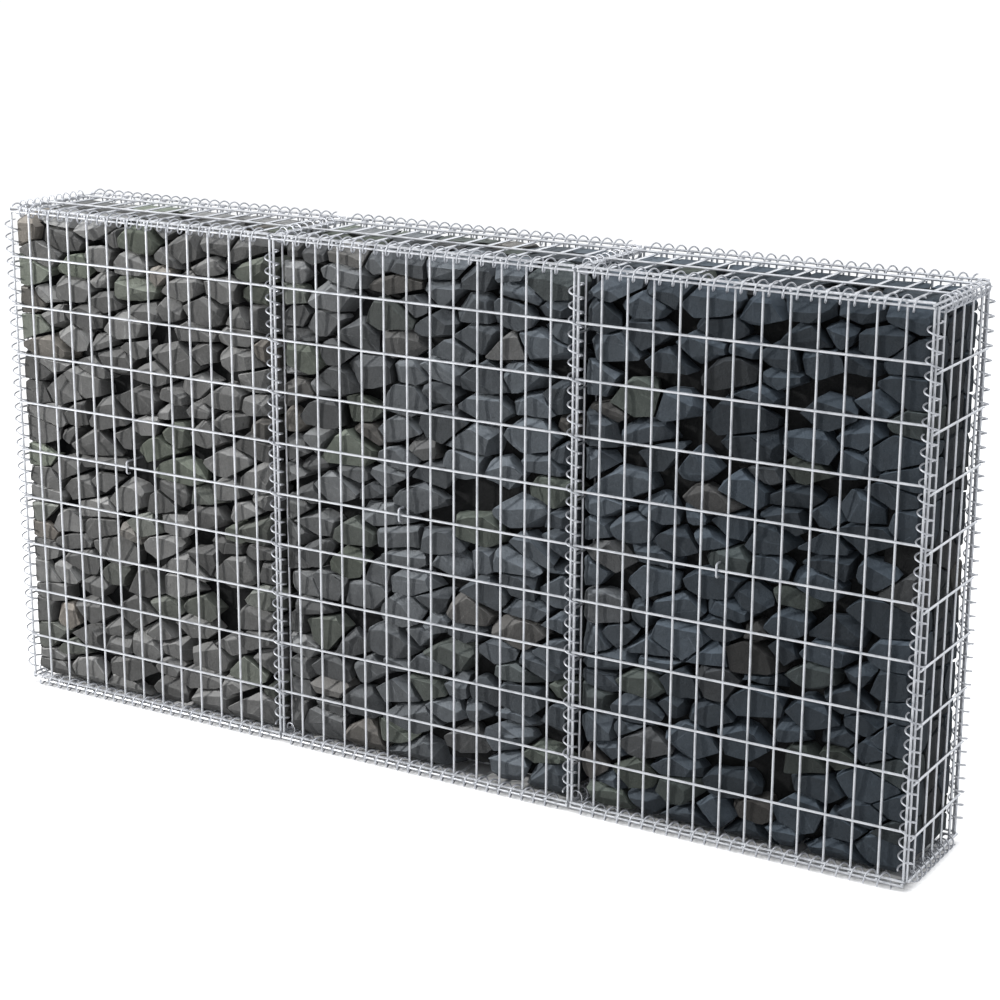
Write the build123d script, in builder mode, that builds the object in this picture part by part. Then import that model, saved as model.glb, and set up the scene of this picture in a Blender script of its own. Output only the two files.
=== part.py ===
"""Gabion wall of three bays: a cage of welded wire mesh panels, laced together along every
edge with wire spirals, held front to back by one tie wire in each bay and filled with
crushed stone.

Millimetres. X runs along the wall, Y from the front face to the back, Z up. The origin is
under the middle of the wall, on the ground that the lowest turns of the lacing touch.
"""

import os
from math import asin, atan, cos, degrees, pi, radians, sin, sqrt

from build123d import *

os.makedirs("parts", exist_ok=True)

# Driving sizes of the wall
bay_count = 3
bay_step = 650.0
depth = 246.0
panel_height = 980.0

# Mesh of the front, back, lid and base panels
wire = 4.0
wire_sides = 6
weld_sink = 0.5
upright_step = 50.0
uprights_per_bay = 12
row_step = 100.0
rows_per_panel = 9

# Mesh of the end panels and partitions
end_wire_step = 43.0
end_wire_count = 5
end_rim_inset = 8.0
end_panel_gap = 4.7
joint_gap = 9.0

# Long wires of the lid and the base, as steps of the end wires behind the middle
lid_wire_steps = (-0.5, 2.0)
lid_wire_lead = 3.5

# Lacing spirals, bent in straight steps round each turn
lacing_wire = 3.2
lacing_sides = 4
lacing_radius = 13.0
lacing_steps_per_turn = 8
lacing_turns_per_cell = 2
lacing_end_gap = 2.4

# Tie wires with a hook at each end
tie_wire = 3.8
tie_place = 280.0
tie_hook_height = 25.0
tie_bend = 5.0
tie_end_inset = 5.0
tie_row = 5

# Clearances
seat_gap = 0.3
lacing_gap = 0.3
fill_gap = 1.5
tie_channel = 8.0

# Worked out from the driving sizes
layer = wire - weld_sink
panel_width = bay_step - joint_gap
bay_centres = [bay_step * (i - (bay_count - 1) / 2) for i in range(bay_count)]
joints = [(a + b) / 2 for a, b in zip(bay_centres, bay_centres[1:])]
front_y = -depth / 2
back_y = depth / 2
lacing_corner = lacing_wire / 2 / cos(pi / lacing_sides)
lacing_reach = lacing_radius + lacing_corner / cos(pi / lacing_steps_per_turn)
lacing_pitch = upright_step / lacing_turns_per_cell
cross_lacing_pitch = end_wire_step / lacing_turns_per_cell

# Levels: base wires, panel rims and lid wires rest on each other with the seat gap between.
# A rim wire stands on a corner of its section, a crossing wire lies on a flat.
wire_corner = wire / 2 / cos(pi / wire_sides)
rim_rise = layer + wire / 2 + wire_corner + seat_gap
base_z = lacing_reach - rim_rise / 2
panel_bottom_z = base_z + rim_rise
panel_top_z = panel_bottom_z + panel_height
lid_z = panel_top_z + rim_rise
edge_row = (panel_height - (rows_per_panel - 1) * row_step) / 2
rows = [panel_bottom_z + edge_row + row_step * i for i in range(rows_per_panel)]

# Planes of the two kinds of panel that stand across the wall
corner_x = bay_centres[-1] + panel_width / 2
end_x = corner_x + end_panel_gap
end_rim_y = depth / 2 - end_rim_inset

# Axes of the corner spirals: midway between the rims that they hold
corner_axis_y = depth / 2 - (layer + end_rim_inset) / 2
corner_axis_x = (corner_x + end_x) / 2

# A spiral passes a wire at this distance along its axis, so that the corners of their
# sections clear each other by the lacing gap
turn_slope = atan(lacing_pitch / (2 * pi * lacing_radius))
lacing_rise = (wire_corner + lacing_corner + lacing_gap) / cos(turn_slope)

# Angles at which a corner spiral passes the wires of the two panels that it holds. The rows
# of the end panel hang lower, so that the same turn rests on both.
front_turn = degrees(asin((depth / 2 - corner_axis_y) / lacing_radius))
end_turn = degrees(asin((end_x + layer - corner_axis_x) / lacing_radius))
end_row_drop = lacing_pitch * (1 - (90 + front_turn + end_turn) / 360)

# A joint spiral passes under the rows of one bay and over those of the next. The rows of the
# partition hang lower, under the same turn.
joint_turn = 90 - 360 * lacing_rise / lacing_pitch
joint_axis_y = depth / 2 - lacing_radius * sin(radians(joint_turn))
partition_turn = degrees(asin(layer / lacing_radius))
partition_row_drop = 2 * lacing_rise + lacing_pitch * (90 + partition_turn + joint_turn) / 360

# Places of the wires along each panel
uprights = [upright_step * (i - (uprights_per_bay - 1) / 2) for i in range(uprights_per_bay)]
front_uprights = [-panel_width / 2] + uprights + [panel_width / 2]
front_rows = [panel_bottom_z] + rows + [panel_top_z]
end_wires = [end_wire_step * (i - (end_wire_count - 1) / 2) for i in range(end_wire_count)]
end_uprights = [-end_rim_y] + end_wires + [end_rim_y]
end_rows = [panel_bottom_z] + [z - end_row_drop for z in rows] + [panel_top_z]
partition_rows = [panel_bottom_z] + [z - partition_row_drop for z in rows] + [panel_top_z]
lid_wires = [step * end_wire_step - lid_wire_lead for step in lid_wire_steps]
lid_rows = [front_y] + lid_wires + [back_y]
base_rows = [-y for y in reversed(lid_rows)]


def mesh_panel(face, across, along):
    """Welded mesh in the plane face. Its outer wires run along the plane's X at the places
    along, and its inner wires run along the plane's Y at the places across."""
    outer_end = Plane(face.from_local_coords((across[0] - wire / 2, 0, 0)), face.y_dir, face.x_dir)
    inner_end = Plane(face.from_local_coords((0, along[0] - wire / 2, 0)), face.x_dir, -face.y_dir)
    flat_turn = 90 - 180 / wire_sides
    with BuildPart() as panel:
        with BuildSketch(outer_end):
            with Locations(*[(v, 0) for v in along]):
                RegularPolygon(wire / 2, wire_sides, major_radius=False, rotation=flat_turn)
        extrude(amount=across[-1] - across[0] + wire)
        with BuildSketch(inner_end):
            with Locations(*[(u, -layer) for u in across]):
                RegularPolygon(wire / 2, wire_sides, major_radius=False, rotation=flat_turn)
        extrude(amount=-(along[-1] - along[0] + wire))
    return panel


def spiral(axis, length, pitch, turn, place):
    """Left-handed spiral along the Z of the plane axis, in straight steps. It has a corner at
    the angle turn, counted from the plane's X, at the distance place from its start."""
    step = pitch / lacing_steps_per_turn
    corners = []
    for i in range(int(length / step)):
        rise = place % step + step * i
        angle = radians(turn + 360 * (place - rise) / pitch)
        corner = (lacing_radius * cos(angle), lacing_radius * sin(angle), rise)
        corners.append(axis.from_local_coords(corner))
    with BuildPart() as lacing:
        with BuildLine() as run:
            Polyline(*corners)
        with BuildSketch(Plane(run.line @ 0, z_dir=run.line % 0)):
            RegularPolygon(lacing_wire / 2, lacing_sides, major_radius=False)
        sweep(transition=Transition.RIGHT)
    return lacing


def write(piece, name):
    """Name one finished piece and write its file."""
    piece.part.label = name
    export_step(piece.part, "parts/" + name + ".step", write_pcurves=False)


bay_names = ["left", "middle", "right"]


def bay_name(index):
    """A person's word for a bay, or its number where there are more than three."""
    return bay_names[index] if bay_count == len(bay_names) else str(index + 1)


def joint_name(index):
    """The joint's word in a wall of three bays, or its number."""
    return ("left", "right")[index] if bay_count == len(bay_names) else str(index + 1)


# Front, back, lid and base panels, one of each in every bay
for index, x in enumerate(bay_centres):
    front_face = Plane((x, front_y, 0), (1, 0, 0), (0, -1, 0))
    back_face = Plane((x, back_y, 0), (-1, 0, 0), (0, 1, 0))
    lid_face = Plane((x, 0, lid_z), (1, 0, 0), (0, 0, 1))
    base_face = Plane((x, 0, base_z), (1, 0, 0), (0, 0, -1))
    write(mesh_panel(front_face, front_uprights, front_rows), "front_panel_" + bay_name(index))
    write(mesh_panel(back_face, front_uprights, front_rows), "back_panel_" + bay_name(index))
    write(mesh_panel(lid_face, front_uprights, lid_rows), "lid_" + bay_name(index))
    write(mesh_panel(base_face, front_uprights, base_rows), "base_panel_" + bay_name(index))

# End panels and partitions: the same mesh, seen from each end of the wall
right_face = Plane((end_x, 0, 0), (0, 1, 0), (1, 0, 0))
left_face = Plane((-end_x, 0, 0), (0, -1, 0), (-1, 0, 0))
write(mesh_panel(right_face.offset(layer), end_uprights, end_rows), "right_end_panel")
write(mesh_panel(left_face.offset(layer), end_uprights, end_rows), "left_end_panel")
for index, x in enumerate(joints):
    side = 1 if x > 0 else -1
    face = Plane((x + side * layer, 0, 0), (0, side, 0), (side, 0, 0))
    write(mesh_panel(face, end_uprights, partition_rows), "partition_" + joint_name(index))

# Upright spirals at each corner and joint. They start and end clear of the spirals along the
# top and bottom edges.
cross_axis_bottom = base_z + layer + (rim_rise - layer) / 2
cross_axis_top = lid_z - layer - (rim_rise - layer) / 2
upright_start = cross_axis_bottom + lacing_reach + lacing_wire / 2 + lacing_end_gap
upright_end = cross_axis_top - lacing_reach - lacing_wire / 2 - lacing_end_gap
upright_length = upright_end - upright_start
corner_seats = {
    "front_left": (-corner_axis_x, -corner_axis_y, -front_turn),
    "front_right": (corner_axis_x, -corner_axis_y, 180 + front_turn),
    "back_left": (-corner_axis_x, corner_axis_y, front_turn),
    "back_right": (corner_axis_x, corner_axis_y, 180 - front_turn),
}
for name, (x, y, turn) in corner_seats.items():
    foot = Plane((x, y, upright_start))
    place = rows[0] + lacing_rise - upright_start
    write(spiral(foot, upright_length, lacing_pitch, turn, place), "corner_spiral_" + name)
joint_seats = {"front_": (-joint_axis_y, -joint_turn), "back_": (joint_axis_y, 180 - joint_turn)}
for name, (y, turn) in joint_seats.items():
    for index, x in enumerate(joints):
        foot = Plane((x, y, upright_start))
        place = rows[0] - lacing_rise - upright_start
        joint_lacing = spiral(foot, upright_length, lacing_pitch, turn, place)
        write(joint_lacing, "joint_spiral_" + name + joint_name(index))

# Spirals along the top and bottom edges of the front and back, one in each bay. They pass
# the ends of the lid's or the base's cross wires, next to the panel's uprights.
edge_top = lid_z - rim_rise / 2
edge_bottom = base_z + rim_rise / 2
edge_tilt = degrees(asin((layer - rim_rise / 2) / lacing_radius))
edge_start = lacing_reach + lacing_wire / 2 + lacing_end_gap
edge_length = bay_step - 2 * edge_start
first_upright = bay_step / 2 + uprights[0] - edge_start
edge_seats = {
    "top_front_spiral_": (front_y, edge_top, -edge_tilt, 1),
    "top_back_spiral_": (back_y, edge_top, 180 + edge_tilt, -1),
    "bottom_front_spiral_": (front_y, edge_bottom, edge_tilt, -1),
    "bottom_back_spiral_": (back_y, edge_bottom, 180 - edge_tilt, 1),
}
for name, (y, z, turn, side) in edge_seats.items():
    for index, x in enumerate(bay_centres):
        foot = Plane((x - bay_step / 2 + edge_start, y, z), (0, 1, 0), (1, 0, 0))
        place = first_upright + side * lacing_rise
        write(spiral(foot, edge_length, lacing_pitch, turn, place), name + bay_name(index))

# Short spirals over and under the end panels and partitions, from front to back
cross_start = lacing_reach + lacing_wire / 2 + lacing_end_gap - min(corner_axis_y, joint_axis_y)
cross_length = -2 * cross_start
cross_place = end_wires[0] - cross_start - lacing_rise
end_axis_x = (corner_x + end_x + layer) / 2
end_tilt = degrees(asin((end_x - end_axis_x) / lacing_radius))
cross_axes = [(-end_axis_x, -end_tilt)] + [(x, 0) for x in joints] + [(end_axis_x, end_tilt)]
for name, z, turn in (("top", cross_axis_top, -90), ("bottom", cross_axis_bottom, 90)):
    with BuildPart() as cross_lacing:
        for x, tilt in cross_axes:
            foot = Plane((x, cross_start, z), (-1, 0, 0), (0, 1, 0))
            seat_turn = turn + tilt * turn / 90
            add(spiral(foot, cross_length, cross_lacing_pitch, seat_turn, cross_place).part)
    write(cross_lacing, name + "_cross_spirals")

# Tie wires: straight from front to back over the middle row, hooked round its wire
tie_z = rows[tie_row - 1]
hook_y = depth / 2 + wire / 2 + seat_gap + tie_wire / 2
hook_end_y = depth / 2 - tie_end_inset
tie_half = tie_hook_height / 2
for index, x in enumerate(bay_centres):
    tie_x = x - panel_width / 2 + tie_place
    with BuildPart() as tie:
        with BuildLine(Plane((tie_x, 0, tie_z), (0, 1, 0), (1, 0, 0))) as run:
            FilletPolyline(
                (-hook_end_y, -tie_half),
                (-hook_y, -tie_half),
                (-hook_y, tie_half),
                (hook_y, tie_half),
                (hook_y, -tie_half),
                (hook_end_y, -tie_half),
                radius=tie_bend,
            )
        with BuildSketch(Plane(run.line @ 0, z_dir=run.line % 0)):
            Circle(tie_wire / 2)
        sweep()
    write(tie, "tie_wire_" + bay_name(index))

# Stone fill: a block in each bay, its edges cut back clear of the lacing, with a channel
# for the tie wire
fill_front = depth / 2 - layer - wire / 2 - fill_gap
fill_bottom = base_z + layer + wire / 2 + seat_gap
fill_top = lid_z - layer - wire / 2 - fill_gap
fill_edge_cut = sqrt(2) * lacing_reach + fill_gap
walls = [-end_x] + joints + [end_x]
for index, x in enumerate(bay_centres):
    wall_faces = []
    for wall, toward in ((walls[index], 1), (walls[index + 1], -1)):
        wires_toward = wall in joints and wall * toward > 0
        wall_faces.append(wall + toward * (wire / 2 + fill_gap + (layer if wires_toward else 0)))
    fill_width = wall_faces[1] - wall_faces[0]
    fill_x = (wall_faces[0] + wall_faces[1]) / 2
    with BuildPart() as fill:
        with BuildSketch(Plane((fill_x, 0, fill_bottom))):
            Rectangle(fill_width, 2 * fill_front)
        extrude(amount=fill_top - fill_bottom)
        chamfer(fill.edges(), fill_edge_cut)
        tie_x = x - panel_width / 2 + tie_place
        with BuildSketch(Plane((tie_x, 0, tie_z + tie_half), (1, 0, 0), (0, -1, 0))):
            Circle(tie_channel / 2)
        extrude(amount=depth, both=True, mode=Mode.SUBTRACT)
    write(fill, "stone_fill_" + bay_name(index))
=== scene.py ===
"""Gabion wall of three bays: galvanised mesh and lacing from the frame, filled with crushed
dark stone that is built here, one convex broken stone at a time.

Sizes are written in millimetres, as in the part's source, and turned to metres by MM.
"""
import math
import random

import bmesh
import bpy
import numpy as np
from mathutils import Matrix, Vector, noise


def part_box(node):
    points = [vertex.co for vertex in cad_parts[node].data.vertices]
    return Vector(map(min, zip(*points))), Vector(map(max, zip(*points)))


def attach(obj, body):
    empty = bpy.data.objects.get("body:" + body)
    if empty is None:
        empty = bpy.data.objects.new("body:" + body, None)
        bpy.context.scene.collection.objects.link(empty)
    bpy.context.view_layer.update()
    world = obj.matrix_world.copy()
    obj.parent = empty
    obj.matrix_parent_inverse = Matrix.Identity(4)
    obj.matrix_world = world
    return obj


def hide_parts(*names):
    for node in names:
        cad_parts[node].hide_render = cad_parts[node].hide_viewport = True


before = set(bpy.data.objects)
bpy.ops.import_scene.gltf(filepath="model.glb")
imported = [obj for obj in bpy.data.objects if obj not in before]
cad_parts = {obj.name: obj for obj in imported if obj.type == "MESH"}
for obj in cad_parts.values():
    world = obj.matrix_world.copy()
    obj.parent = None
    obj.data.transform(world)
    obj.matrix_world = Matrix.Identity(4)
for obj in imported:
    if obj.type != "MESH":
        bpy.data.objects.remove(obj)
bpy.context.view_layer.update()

MM = 0.001
scene = bpy.context.scene

# Camera.

CAMERA_AT = (2.2018, -3.4763, 1.6591)
CAMERA_LOOK = (-0.4983, 0.8246, -0.2678)
CAMERA_ROLL = math.radians(0.26)
CAMERA_LENS = 81.57

camera_data = bpy.data.cameras.new("camera")
camera_data.sensor_width = 36.0
camera_data.lens = CAMERA_LENS
camera_data.clip_end = 100.0
camera = bpy.data.objects.new("camera", camera_data)
scene.collection.objects.link(camera)
camera.location = CAMERA_AT
facing = Vector(CAMERA_LOOK).normalized().to_track_quat("-Z", "Y").to_matrix()
camera.rotation_euler = (facing @ Matrix.Rotation(CAMERA_ROLL, 3, "Z")).to_euler()
scene.camera = camera
scene.view_settings.view_transform = "Standard"


# Materials.

def node_adder(tree):
    """A function that adds a node to the tree. Values named in_X set the node's input X."""
    def add(kind, **values):
        node = tree.nodes.new(kind)
        for key, value in values.items():
            if key.startswith("in_"):
                node.inputs[key[3:].replace("_", " ")].default_value = value
            else:
                setattr(node, key, value)
        return node

    return add


def new_material(name):
    """A node material with its tree, its Principled shader and a function that adds nodes."""
    material = bpy.data.materials.new(name)
    material.use_nodes = True
    tree = material.node_tree
    return material, tree, tree.nodes["Principled BSDF"], node_adder(tree)


def ramp(node, stops):
    """Sets a colour ramp to (place, colour) stops."""
    band = node.color_ramp
    while len(band.elements) > len(stops):
        band.elements.remove(band.elements[-1])
    for index, (place, colour) in enumerate(stops):
        if index >= len(band.elements):
            band.elements.new(place)
        band.elements[index].position = place
        band.elements[index].color = (*colour, 1.0)


def zinc_material(name, light, dark):
    """Hot-dip galvanised wire: pale grey metal with a cloudy, slightly blotched surface. Light
    and dark are the two tones of the cloud."""
    material, tree, shader, add = new_material(name)
    place = add("ShaderNodeTexCoord")
    cloud = add("ShaderNodeTexNoise", in_Scale=38.0, in_Detail=5.0, in_Roughness=0.62)
    tree.links.new(place.outputs["Object"], cloud.inputs["Vector"])
    tones = add("ShaderNodeValToRGB")
    ramp(tones, [(0.32, dark), (0.52, light), (0.78, tuple(min(1.0, c * 1.06) for c in light))])
    tree.links.new(cloud.outputs["Fac"], tones.inputs["Fac"])
    tree.links.new(tones.outputs["Color"], shader.inputs["Base Color"])
    gloss = add("ShaderNodeMapRange", in_To_Min=0.30, in_To_Max=0.56)
    tree.links.new(cloud.outputs["Fac"], gloss.inputs["Value"])
    tree.links.new(gloss.outputs["Result"], shader.inputs["Roughness"])
    grain = add("ShaderNodeTexNoise", in_Scale=900.0, in_Detail=3.0)
    tree.links.new(place.outputs["Object"], grain.inputs["Vector"])
    bump = add("ShaderNodeBump", in_Strength=0.12, in_Distance=0.0006)
    tree.links.new(grain.outputs["Fac"], bump.inputs["Height"])
    tree.links.new(bump.outputs["Normal"], shader.inputs["Normal"])
    shader.inputs["Metallic"].default_value = 0.55
    return material


def stone_material():
    """Crushed basalt. Each stone's colour comes from the mesh, as does the marking of its broken edges,
    where a highlight is painted in places. Faces that look up are painted paler, as light from above
    would make them, and a little dusty."""
    material, tree, shader, add = new_material("crushed_basalt")
    link = tree.links.new
    place = add("ShaderNodeTexCoord")
    tone = add("ShaderNodeAttribute", attribute_name="tone")
    # The edge attribute tells where a highlight is painted on the bevelled edges.
    edge = add("ShaderNodeAttribute", attribute_name="edge")

    patches = add("ShaderNodeTexNoise", in_Scale=26.0, in_Detail=6.0, in_Roughness=0.66)
    link(place.outputs["Object"], patches.inputs["Vector"])
    patch_gain = add("ShaderNodeMapRange", in_To_Min=0.50, in_To_Max=1.50)
    link(patches.outputs["Fac"], patch_gain.inputs["Value"])

    grain = add("ShaderNodeTexNoise", in_Scale=420.0, in_Detail=4.0, in_Roughness=0.7)
    link(place.outputs["Object"], grain.inputs["Vector"])
    grain_gain = add("ShaderNodeMapRange", in_To_Min=0.55, in_To_Max=1.45)
    link(grain.outputs["Fac"], grain_gain.inputs["Value"])

    mottle = add("ShaderNodeMath", operation="MULTIPLY")
    link(patch_gain.outputs["Result"], mottle.inputs[0])
    link(grain_gain.outputs["Result"], mottle.inputs[1])

    lumps = add("ShaderNodeTexNoise", in_Scale=90.0, in_Detail=6.0, in_Roughness=0.68)
    link(place.outputs["Object"], lumps.inputs["Vector"])

    # Painted light from above, and a little dusty: faces that look up are made paler.
    normal = add("ShaderNodeNewGeometry")
    parts = add("ShaderNodeSeparateXYZ")
    link(normal.outputs["Normal"], parts.inputs["Vector"])
    dust_and_painted_top_light = add("ShaderNodeMapRange", in_From_Min=0.25, in_From_Max=0.95, in_To_Min=0.0, in_To_Max=2.5)
    link(parts.outputs["Z"], dust_and_painted_top_light.inputs["Value"])
    # Patches along the marked edges where the painted highlight lies.
    chips = add("ShaderNodeMapRange", in_From_Min=0.42, in_From_Max=0.60, in_To_Min=0.0, in_To_Max=0.55)
    link(lumps.outputs["Fac"], chips.inputs["Value"])
    # Painted edge highlight plus painted top light with a little dustiness, added to the mottle.
    painted_light_and_dust = add("ShaderNodeMath", operation="MULTIPLY_ADD")
    link(edge.outputs["Fac"], painted_light_and_dust.inputs[0])
    link(chips.outputs["Result"], painted_light_and_dust.inputs[1])
    link(dust_and_painted_top_light.outputs["Result"], painted_light_and_dust.inputs[2])
    gain = add("ShaderNodeMath", operation="ADD")
    link(painted_light_and_dust.outputs["Value"], gain.inputs[0])
    link(mottle.outputs["Value"], gain.inputs[1])

    colour = add("ShaderNodeVectorMath", operation="SCALE")
    link(tone.outputs["Vector"], colour.inputs["Vector"])
    link(gain.outputs["Value"], colour.inputs["Scale"])
    link(colour.outputs["Vector"], shader.inputs["Base Color"])

    rough = add("ShaderNodeMapRange", in_To_Min=0.62, in_To_Max=0.86)
    link(patches.outputs["Fac"], rough.inputs["Value"])
    link(rough.outputs["Result"], shader.inputs["Roughness"])

    shader.inputs["Specular IOR Level"].default_value = 0.22
    coarse = add("ShaderNodeBump", in_Strength=0.9, in_Distance=0.005)
    fine = add("ShaderNodeBump", in_Strength=0.7, in_Distance=0.0015)
    link(lumps.outputs["Fac"], coarse.inputs["Height"])
    link(grain.outputs["Fac"], fine.inputs["Height"])
    link(coarse.outputs["Normal"], fine.inputs["Normal"])
    link(fine.outputs["Normal"], shader.inputs["Normal"])
    return material


MESH_ZINC = zinc_material("galvanised_mesh", (0.60, 0.615, 0.645), (0.42, 0.435, 0.465))
LACING_ZINC = zinc_material("galvanised_lacing", (0.54, 0.555, 0.59), (0.36, 0.375, 0.41))
STONE = stone_material()

for name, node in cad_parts.items():
    if "spiral" in name or "stone_fill" in name:
        continue
    for slot in node.material_slots:
        slot.link = "OBJECT"
        slot.material = LACING_ZINC if "tie" in name else MESH_ZINC


def add_piece(name, mesh, replaced):
    """Puts a finished mesh into the scene in place of a node of the frame."""
    piece = bpy.data.objects.new(name, mesh)
    scene.collection.objects.link(piece)
    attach(piece, "root")
    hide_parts(replaced)
    return piece


# Lacing.

LACING_RADIUS = 13.0
LACING_WIRE = 3.2
PITCH = 25.0
CROSS_PITCH = 21.5
TURN_STEPS = 22
ROUND_STEPS = 8
END_TRIM = 0.4 * LACING_WIRE
TIP_SHARE = 0.7


def islands(mesh):
    """The corners of each separate solid of a mesh, in millimetres."""
    bm = bmesh.new()
    bm.from_mesh(mesh)
    bmesh.ops.remove_doubles(bm, verts=bm.verts[:], dist=1e-6)
    found, left = [], set(bm.verts)
    while left:
        stack = [left.pop()]
        group = []
        while stack:
            vert = stack.pop()
            group.append(vert.co[:])
            for edge in vert.link_edges:
                other = edge.other_vert(vert)
                if other in left:
                    left.remove(other)
                    stack.append(other)
        found.append(np.array(group) / MM)
    bm.free()
    return found


def round_spiral(corners, pitch):
    """A smooth left-handed spiral where the frame has one in straight steps. Its axis is the
    longest side of the corners' box, and its place and turn come from the corners."""
    low, high = corners.min(axis=0), corners.max(axis=0)
    along = int(np.argmax(high - low))
    across, up = (along + 1) % 3, (along + 2) % 3
    a, b, s = corners[:, across], corners[:, up], corners[:, along]
    fit = np.linalg.lstsq(np.column_stack([2 * a, 2 * b, np.ones_like(a)]), a * a + b * b, rcond=None)[0]
    turn = np.angle(np.exp(1j * (np.arctan2(b - fit[1], a - fit[0]) + 2 * np.pi * s / pitch)).mean())
    start, end = low[along] + END_TRIM, high[along] - END_TRIM
    count = int((end - start) / pitch * TURN_STEPS)
    place = np.linspace(start, end, count)
    angle = turn - 2 * np.pi * place / pitch
    out = np.zeros((count, 3))
    out[:, across], out[:, up] = np.cos(angle), np.sin(angle)
    middle = out * LACING_RADIUS
    middle[:, across] += fit[0]
    middle[:, up] += fit[1]
    middle[:, along] = place
    run = np.gradient(middle, axis=0)
    run /= np.linalg.norm(run, axis=1)[:, None]
    side = np.cross(run, out)
    verts = []
    for k in range(count):
        size = LACING_WIRE / 2 * (TIP_SHARE if k in (0, count - 1) else 1.0)
        for m in range(ROUND_STEPS):
            t = 2 * math.pi * m / ROUND_STEPS
            verts.append(middle[k] + size * (math.cos(t) * out[k] + math.sin(t) * side[k]))
    faces = []
    for k in range(count - 1):
        for m in range(ROUND_STEPS):
            n = (m + 1) % ROUND_STEPS
            first, second = k * ROUND_STEPS, (k + 1) * ROUND_STEPS
            faces.append((first + n, first + m, second + m, second + n))
    faces.append(tuple(range(ROUND_STEPS)))
    faces.append(tuple(reversed(range((count - 1) * ROUND_STEPS, count * ROUND_STEPS))))
    return verts, faces


for name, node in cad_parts.items():
    if "spiral" not in name:
        continue
    verts, faces = [], []
    for corners in islands(node.data):
        ring_verts, ring_faces = round_spiral(corners, CROSS_PITCH if "cross" in name else PITCH)
        first = len(verts)
        verts.extend(v * MM for v in ring_verts)
        faces.extend(tuple(first + k for k in face) for face in ring_faces)
    mesh = bpy.data.meshes.new("round_" + name)
    mesh.from_pydata(verts, [], faces)
    mesh.shade_smooth()
    mesh.materials.append(LACING_ZINC)
    add_piece("round_" + name, mesh, name)


# Stones.

BAYS = {}
for bay in ("left", "middle", "right"):
    fill_low, fill_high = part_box("stone_fill_" + bay)
    BAYS[bay] = (fill_low[0] / MM, fill_high[0] / MM)
FILL_Y = fill_high[1] / MM
FILL_Z = (fill_low[2] / MM, fill_high[2] / MM)

# How far the edges of a bay's load are cut back: everywhere, and at the wall's rear corners and
# its front corners.
EDGE_CUT, REAR_CUT, CORNER_CUT = 23.4, 34.0, 12.0

# The middle and the spread in depth of each layer of stones.
LAYERS = {"front": (-80.0, 10.0), "core": (0.0, 16.0), "rear": (80.0, 10.0)}

# Stones are spread evenly in a plane that is then stretched, so they lie wide and low.
STRETCH = Vector((1.38, 1.0, 0.74))
SEED_GAP = 47.0
SEED_TRIES = 5200
SEED_MARGIN_X, SEED_MARGIN_Z = 18.0, 14.0

# A stone's weight makes it larger or smaller than its neighbours. The cells with the weight of
# a void stay empty; there are none close to the rim, where the floor would show through.
WEIGHTS = (-600.0, 700.0)
VOID_WEIGHT = -1300.0
VOID_SHARE = 0.15
RIM = 60.0
RIM_X = 50.0
REAR_Y = 40.0

# A stone starts as a cube of this half side. A plane cuts it off from each neighbour that is
# near, no closer to either middle than NEAREST of the way between the two.
CELL_REACH = 190.0
NEIGHBOUR_REACH = CELL_REACH * 1.15
NEAREST = 0.22
JOINT_GAP = (0.4, 3.0)

# The faces behind the mesh lean by up to the first value and lie back by up to the second.
OUTER_REACH = 120.0
LEAN_FACE, LEAN_TOP, LEAN_OTHER = (0.11, 8.0), (0.05, 3.5), (0.03, 1.5)
LEAST_DRAW = 0.3

# The share of a stone's span that each broken corner takes. Stones at the wall's ends and at its
# rear top edge are less broken.
ARCH_CHIP, BROW_CHIP, CHIP = (0.04, 0.18), (0.06, 0.16), (0.03, 0.14)
ARCH = Vector((0.62, 0.0, 0.78))
BROW_Y, BROW_Z = 0.70, 0.72
CHIPS = (4, 7)
CHIP_SPREAD = 0.12
CALM_END = 890.0
CALM = 0.35

FLAT_ANGLE = 0.03
SHORT_EDGE = 2.0
BEVEL = 1.9
BEVEL_SPREAD = (0.8, 1.5)
LONG_EDGE = 25.0
INNER_DEPTH = 110.0
COARSE = 1.7
LUMPS, GRAIN = (30.0, 1.9), (10.0, 1.7)
SHRINK = 1.4
# Core stones are darkened by this factor: painted shade, as they are seen only through the joints.
CORE_PAINTED_SHADE = 0.5


def scatter(low, high, rng):
    """Places for one layer of stones, at least SEED_GAP apart in the stretched plane."""
    places = []
    for _ in range(SEED_TRIES):
        x = rng.uniform(low + SEED_MARGIN_X, high - SEED_MARGIN_X)
        z = rng.uniform(FILL_Z[0] + SEED_MARGIN_Z, FILL_Z[1] - SEED_MARGIN_Z)
        across, up = x / STRETCH.x, z / STRETCH.z
        if all((across - a) ** 2 + (up - b) ** 2 > SEED_GAP ** 2 for a, b, _, _ in places):
            places.append((across, up, x, z))
    return [(x, z) for _, _, x, z in places]


def block_planes(low, high):
    """The planes that hold a bay's stones, as (unit normal, distance): six sides, and the
    edges cut back from the lacing, more at the wall's rear corners and less at its front
    corners, where the photo shows stones right up to the mesh."""
    sides = [
        (Vector((-1, 0, 0)), -low), (Vector((1, 0, 0)), high),
        (Vector((0, -1, 0)), FILL_Y), (Vector((0, 1, 0)), FILL_Y),
        (Vector((0, 0, -1)), -FILL_Z[0]), (Vector((0, 0, 1)), FILL_Z[1]),
    ]
    cuts = []
    for i, (n, d) in enumerate(sides):
        for m, e in sides[i + 1:]:
            if abs(n.dot(m)) > 0.5:
                continue
            rear = n.y + m.y > 0.5
            wall_end = (n.x + m.x) * (low + high) > 0.5 and abs(low + high) > 1.0
            cut = REAR_CUT if rear and wall_end else EDGE_CUT
            if wall_end and not rear and n.z + m.z == 0:
                cut = CORNER_CUT
            cuts.append(((n + m).normalized(), (d + e - cut) / math.sqrt(2)))
    return sides, cuts


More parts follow.
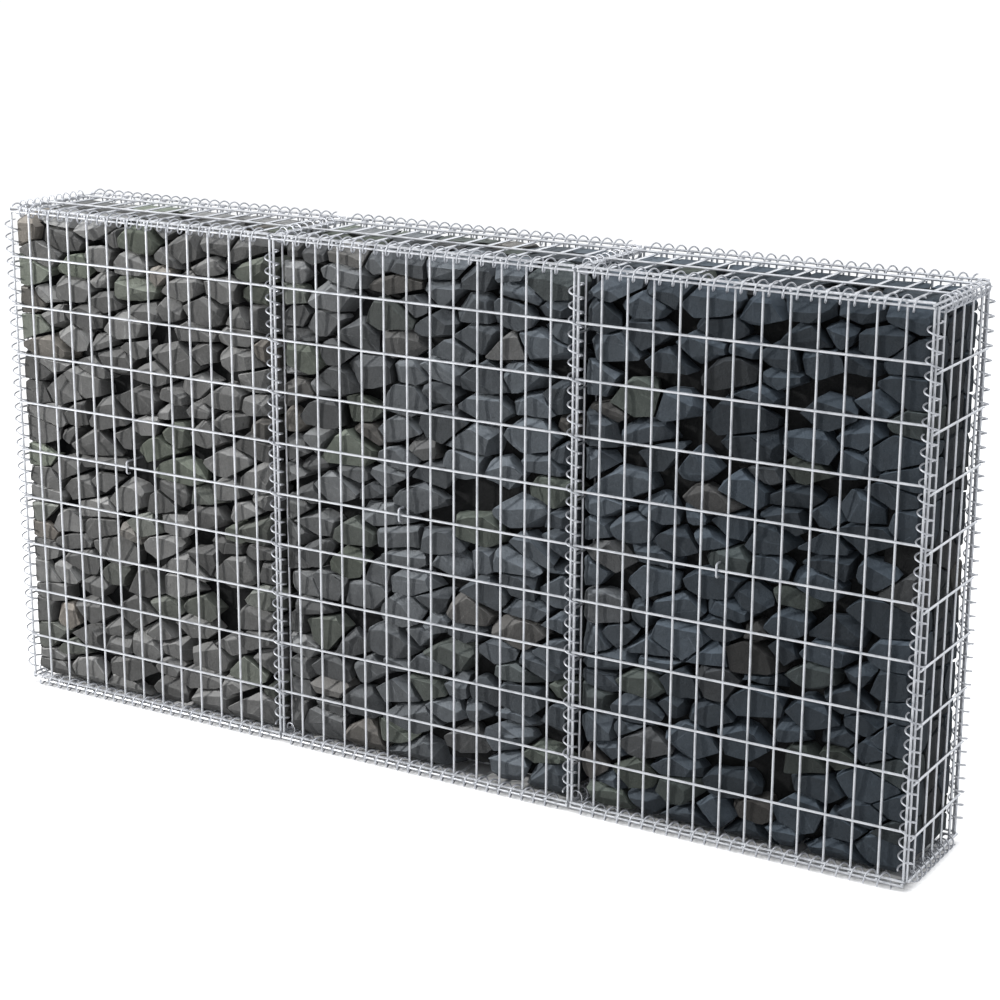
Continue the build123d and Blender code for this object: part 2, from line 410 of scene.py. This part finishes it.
def clip(bm, normal, distance):
    """Cuts a convex solid by the plane, keeps what lies inside and closes the cut."""
    cut = bmesh.ops.bisect_plane(
        bm, geom=bm.verts[:] + bm.edges[:] + bm.faces[:], dist=1e-5,
        plane_co=normal * distance, plane_no=normal, clear_outer=True,
    )
    edges = [g for g in cut["geom_cut"] if isinstance(g, bmesh.types.BMEdge)]
    if len(edges) > 2:
        bmesh.ops.contextual_create(bm, geom=edges)


def grow_stone(index, seeds, weights, sides, cuts, rng):
    """One stone: its share of the block, drawn in from its neighbours, with broken corners."""
    here = seeds[index]
    at_rim = abs(here.x) > CALM_END or (here.y > REAR_Y and FILL_Z[1] - here.z < RIM)
    calm = CALM if at_rim else 1.0
    bm = bmesh.new()
    bmesh.ops.create_cube(bm, size=2 * CELL_REACH, matrix=Matrix.Translation(here))
    scaled = Vector((here.x / STRETCH.x, here.y, here.z / STRETCH.z))
    planes = []
    for other, there in enumerate(seeds):
        if other == index or (there - here).length > NEIGHBOUR_REACH:
            continue
        away = Vector((there.x / STRETCH.x, there.y, there.z / STRETCH.z)) - scaled
        share = 0.5 + (weights[index] - weights[other]) / away.length_squared / 2
        middle = scaled + away * min(1.0 - NEAREST, max(NEAREST, share))
        normal = Vector((away.x / STRETCH.x, away.y, away.z / STRETCH.z))
        length = normal.length
        planes.append((normal / length, middle.dot(away) / length - calm * rng.uniform(*JOINT_GAP)))
    planes.sort(key=lambda plane: plane[1] - plane[0].dot(here))
    for normal, distance in planes:
        clip(bm, normal, distance)
    for normal, distance in sides:
        clip(bm, normal, distance)
        if distance - normal.dot(here) > OUTER_REACH:
            continue
        lean, draw = LEAN_OTHER
        if abs(normal.y) > 0.5:
            lean, draw = LEAN_FACE
        elif normal.z > 0.5:
            lean, draw = LEAN_TOP
        tilt = Vector([rng.uniform(-lean, lean) * (normal[k] == 0) for k in range(3)])
        leaning = (normal + tilt).normalized()
        if bm.verts:
            top = max(v.co.dot(leaning) for v in bm.verts)
            clip(bm, leaning, top - rng.uniform(LEAST_DRAW, draw))
    for normal, distance in cuts:
        clip(bm, normal, distance)
    if len(bm.verts) < 4:
        bm.free()
        return None
    outward = 1.0 if here.y > 0 else -1.0
    chips = [
        (Vector((-ARCH.x, ARCH.y, ARCH.z)), rng.uniform(*ARCH_CHIP)),
        (ARCH, rng.uniform(*ARCH_CHIP)),
        (Vector((rng.gauss(0, 0.25), outward * BROW_Y, BROW_Z)), rng.uniform(*BROW_CHIP)),
    ]
    for _ in range(rng.randint(*CHIPS)):
        normal = Vector((rng.gauss(0, 1), rng.gauss(0, 1.0), rng.gauss(0.1, 1)))
        chips.append((normal, rng.uniform(*CHIP)))
    for normal, share in chips:
        normal = (normal + Vector([rng.gauss(0, CHIP_SPREAD) for _ in range(3)])).normalized()
        reach = [v.co.dot(normal) for v in bm.verts]
        span = max(reach) - min(reach)
        clip(bm, normal, max(reach) - span * share * calm)
    bmesh.ops.dissolve_limit(bm, angle_limit=FLAT_ANGLE, verts=bm.verts[:], edges=bm.edges[:])
    bmesh.ops.remove_doubles(bm, verts=bm.verts[:], dist=SHORT_EDGE)
    return bm


def finish_stone(bm, rng, coarse):
    """Rounds the broken edges a little, splits the long ones and roughens the faces."""
    edge_highlight_mark = bm.faces.layers.float.new("edge")
    made = bmesh.ops.bevel(
        bm, geom=bm.edges[:], offset=BEVEL * rng.uniform(*BEVEL_SPREAD), segments=1,
        profile=0.5, affect="EDGES", clamp_overlap=True,
    )
    # The bevel faces are marked for the painted edge highlight.
    for face in made["faces"]:
        face[edge_highlight_mark] = 1.0
    limit = LONG_EDGE * (COARSE if coarse else 1.0)
    bmesh.ops.triangulate(bm, faces=bm.faces[:])
    for _ in range(1 if coarse else 2):
        long_edges = [e for e in bm.edges if e.calc_length() > limit]
        if long_edges:
            bmesh.ops.subdivide_edges(bm, edges=long_edges, cuts=1)
            bmesh.ops.triangulate(bm, faces=[f for f in bm.faces if len(f.verts) > 3])
    bm.normal_update()
    shift = Vector((rng.uniform(0, 90), rng.uniform(0, 90), rng.uniform(0, 90)))
    for v in bm.verts:
        swell = sum(noise.noise(v.co / size + shift) * height for size, height in (LUMPS, GRAIN))
        v.co += v.normal * (swell - SHRINK)


# Painted light from the lamp at the left: stones are made paler and greyer from the first x leftwards,
# fully so over the second span.
PAINTED_LIGHT_FROM, PAINTED_LIGHT_OVER = 650.0, 1500.0
TONE_DARK, TONE_PAINTED_LIGHT, PAINTED_LIGHT_POWER = 0.036, 0.080, 0.75
TONE_SPREAD = (0.58, 1.42)
COLD, PAINTED_LIGHT_TINT = Vector((0.79, 1.0, 1.23)), Vector((1.0, 1.0, 0.985))
PAINTED_LIGHT_TINT_RATE = 1.45
OLIVE, OLIVE_SHARE, OLIVE_MIX = Vector((0.92, 1.05, 0.82)), 0.12, (0.3, 0.8)
BROWN, BROWN_SHARE, BROWN_MIX = Vector((1.10, 1.0, 0.88)), 0.07, (0.3, 0.9)


def stone_tone(x, rng):
    """A stone's colour. The load is dark blue-grey, with some olive and brown stones. Towards the left
    end of the wall it is painted paler and greyer, as painted light from the lamp at the left."""
    # Painted key light: 0 towards the right, 1 at the lamp-lit left end.
    painted_key_light = min(1.0, max(0.0, (PAINTED_LIGHT_FROM - x) / PAINTED_LIGHT_OVER))
    value = TONE_DARK + TONE_PAINTED_LIGHT * painted_key_light ** PAINTED_LIGHT_POWER
    value *= rng.uniform(*TONE_SPREAD)
    kind = rng.random()
    tint = COLD.lerp(PAINTED_LIGHT_TINT, min(1.0, painted_key_light * PAINTED_LIGHT_TINT_RATE))
    if kind < OLIVE_SHARE:
        tint = tint.lerp(OLIVE, rng.uniform(*OLIVE_MIX))
    elif kind < OLIVE_SHARE + BROWN_SHARE:
        tint = tint.lerp(BROWN, rng.uniform(*BROWN_MIX))
    return tint * value


def stone_layer(name, bay, layer, seeds, weights, owners, sides, cuts, seed):
    """All stones of one layer of a bay as one object."""
    rng = random.Random(seed)
    verts, faces, tones, edges = [], [], [], []
    for index in owners:
        if weights[index] == VOID_WEIGHT:
            continue
        bm = grow_stone(index, seeds, weights, sides, cuts, rng)
        if bm is None:
            continue
        here = seeds[index]
        inner = layer == "core" and FILL_Z[1] - here.z > INNER_DEPTH and min(
            abs(here.x - side) for side in BAYS[bay]) > INNER_DEPTH
        finish_stone(bm, rng, inner)
        edge_highlight_mark = bm.faces.layers.float["edge"]
        # Core stones get a painted shade, being seen only through the joints.
        colour = stone_tone(here.x, rng) * (CORE_PAINTED_SHADE if layer == "core" else 1.0)
        first = len(verts)
        bm.verts.index_update()
        verts.extend(v.co * MM for v in bm.verts)
        for face in bm.faces:
            faces.append([first + v.index for v in face.verts])
            tones.extend(colour)
            edges.append(face[edge_highlight_mark])
        bm.free()
    mesh = bpy.data.meshes.new(name)
    mesh.from_pydata(verts, [], faces)
    mesh.attributes.new("tone", "FLOAT_VECTOR", "FACE").data.foreach_set("vector", tones)
    mesh.attributes.new("edge", "FLOAT", "FACE").data.foreach_set("value", edges)
    mesh.shade_smooth()
    mesh.materials.append(STONE)
    mesh.validate()
    piece = add_piece(name, mesh, "stone_fill_" + bay)
    even = piece.modifiers.new("even_normals", "WEIGHTED_NORMAL")
    even.mode = "FACE_AREA"
    even.weight = 90


# Near-black colour of the rubble: painted shade for the depth behind the joints.
RUBBLE_PAINTED_SHADE = (0.004, 0.0045, 0.005)
RUBBLE_CUTS = 16
RUBBLE_SIZE, RUBBLE_HEIGHT = 23.0, 7.0
RUBBLE_END = 90.0

# Without a seed, noise_vector takes its offset from the clock and the rubble differs each run.
noise.seed_set(1)


def rubble_core(name, bay, low, high, inset):
    """Small rubble inside a bay, seen only through the gaps between stones and painted near-black there
    as shade. The inset is its distance from the block's sides along each axis."""
    bm = bmesh.new()
    bmesh.ops.create_cube(bm, size=1.0)
    bmesh.ops.subdivide_edges(bm, edges=bm.edges[:], cuts=RUBBLE_CUTS, use_grid_fill=True)
    ends = ((low, high), (-FILL_Y, FILL_Y), FILL_Z)
    size = [end - start - 2 * gap for (start, end), gap in zip(ends, inset)]
    centre = [(start + end) / 2 for start, end in ends]
    for v in bm.verts:
        at = Vector([v.co[k] * size[k] + centre[k] for k in range(3)])
        v.co = (at + noise.noise_vector(at / RUBBLE_SIZE) * RUBBLE_HEIGHT) * MM
    mesh = bpy.data.meshes.new(name)
    bm.to_mesh(mesh)
    bm.free()
    tones = RUBBLE_PAINTED_SHADE * len(mesh.polygons)
    mesh.attributes.new("tone", "FLOAT_VECTOR", "FACE").data.foreach_set("vector", tones)
    mesh.materials.append(STONE)
    add_piece(name, mesh, "stone_fill_" + bay)


for bay_index, (bay, (low, high)) in enumerate(BAYS.items()):
    rubble_core("rubble_" + bay, bay, low, high, (17.0, 40.0, 20.0))
    if bay == "left":
        rubble_core("rubble_left_end", bay, low, low + RUBBLE_END, (15.0, 22.0, 20.0))
    if bay == "right":
        rubble_core("rubble_right_end", bay, high - RUBBLE_END, high, (15.0, 24.0, 20.0))
    rng = random.Random(40 + bay_index)
    seeds, owners = [], {}
    for layer, (middle, spread) in LAYERS.items():
        start = len(seeds)
        for x, z in scatter(low, high, rng):
            seeds.append(Vector((x, middle + rng.uniform(-spread, spread), z)))
        owners[layer] = range(start, len(seeds))
    weights = [
        VOID_WEIGHT if rng.random() < VOID_SHARE and at.y < REAR_Y and FILL_Z[1] - at.z > RIM
        and min(at.x - low, high - at.x) > RIM_X else rng.uniform(*WEIGHTS) for at in seeds
    ]
    sides, cuts = block_planes(low, high)
    for layer in LAYERS:
        stone_layer(
            "stones_" + bay + "_" + layer, bay, layer, seeds, weights, owners[layer],
            sides, cuts, 7 * bay_index + len(layer),
        )


# Floor and light.

FLOOR_HALF = 30.0
FLOOR_GLOW = 0.72
FOOTPRINT = (("X", 0.975), ("Y", 0.118))
FADE_FROM, FADE_TO = -0.012, 0.016
SKY = 0.37


def split_rays(tree, add, kinds, rest, named):
    """Shows the shader named to rays of these kinds and the shader rest to all others."""
    paths = add("ShaderNodeLightPath")
    seen = paths.outputs[kinds[0]]
    for kind in kinds[1:]:
        either = add("ShaderNodeMath", operation="MAXIMUM")
        tree.links.new(seen, either.inputs[0])
        tree.links.new(paths.outputs[kind], either.inputs[1])
        seen = either.outputs["Value"]
    mix = add("ShaderNodeMixShader")
    tree.links.new(seen, mix.inputs["Fac"])
    tree.links.new(rest, mix.inputs[1])
    tree.links.new(named, mix.inputs[2])
    return mix.outputs["Shader"]


def pale_floor():
    """A floor that looks white, as in the photo, with its glow faded out under the wall as painted
    shade, so that no white shows between the lowest stones."""
    material, tree, shader, add = new_material("pale_floor")
    link = tree.links.new
    shader.inputs["Base Color"].default_value = (0.9, 0.9, 0.9, 1.0)
    shader.inputs["Roughness"].default_value = 0.9
    place = add("ShaderNodeTexCoord")
    parts = add("ShaderNodeSeparateXYZ")
    link(place.outputs["Object"], parts.inputs["Vector"])
    beyond = add("ShaderNodeMath", operation="MAXIMUM")
    for index, (axis, half) in enumerate(FOOTPRINT):
        size = add("ShaderNodeMath", operation="ABSOLUTE")
        link(parts.outputs[axis], size.inputs[0])
        past = add("ShaderNodeMath", operation="SUBTRACT")
        link(size.outputs["Value"], past.inputs[0])
        past.inputs[1].default_value = half
        link(past.outputs["Value"], beyond.inputs[index])
    # Painted shade: the floor's glow fades to nothing in the wall's footprint, so it shows dark there.
    painted_shade_fade = add(
        "ShaderNodeMapRange", in_From_Min=FADE_FROM, in_From_Max=FADE_TO,
        in_To_Min=0.0, in_To_Max=FLOOR_GLOW,
    )
    link(beyond.outputs["Value"], painted_shade_fade.inputs["Value"])
    glow = add("ShaderNodeEmission")
    link(painted_shade_fade.outputs["Result"], glow.inputs["Strength"])
    nothing = add("ShaderNodeEmission", in_Strength=0.0)
    kinds = ("Is Camera Ray", "Is Glossy Ray")
    white = split_rays(tree, add, kinds, nothing.outputs["Emission"], glow.outputs["Emission"])
    total = add("ShaderNodeAddShader")
    link(shader.outputs["BSDF"], total.inputs[0])
    link(white, total.inputs[1])
    link(total.outputs["Shader"], tree.nodes["Material Output"].inputs["Surface"])
    return material


floor_mesh = bpy.data.meshes.new("floor")
corners = [(-1, -1), (1, -1), (1, 1), (-1, 1)]
floor_mesh.from_pydata([(FLOOR_HALF * x, FLOOR_HALF * y, 0) for x, y in corners], [], [(0, 1, 2, 3)])
floor_mesh.materials.append(pale_floor())
floor = bpy.data.objects.new("floor", floor_mesh)
scene.collection.objects.link(floor)

world = bpy.data.worlds.new("studio")
scene.world = world
world.use_nodes = True
tree = world.node_tree
add = node_adder(tree)
sky = tree.nodes["Background"].outputs["Background"]
tree.nodes["Background"].inputs["Color"].default_value = (0.93, 0.96, 1.0, 1.0)
tree.nodes["Background"].inputs["Strength"].default_value = SKY
white = add("ShaderNodeBackground", in_Strength=1.0).outputs["Background"]
kinds = ("Is Camera Ray", "Is Glossy Ray", "Is Transmission Ray")
look = split_rays(tree, add, kinds, sky, white)
tree.links.new(look, tree.nodes["World Output"].inputs["Surface"])


def area_light(name, at, toward, size, power, colour):
    """A square lamp at a place, turned to a point."""
    data = bpy.data.lights.new(name, "AREA")
    data.size = size
    data.energy = power
    data.color = colour
    lamp = bpy.data.objects.new(name, data)
    scene.collection.objects.link(lamp)
    lamp.location = at
    lamp.rotation_euler = (Vector(toward) - Vector(at)).to_track_quat("-Z", "Y").to_euler()


area_light("key", (-3.4, -2.6, 1.8), (-0.2, 0.0, 0.5), 0.22, 142.0, (1.0, 0.99, 0.975))
area_light("overhead", (0.5, -1.2, 3.6), (0.0, 0.0, 0.6), 2.4, 46.0, (0.97, 0.98, 1.0))
area_light("rear", (1.5, 3.2, 2.4), (0.0, 0.0, 0.5), 2.2, 36.0, (0.97, 0.98, 1.0))
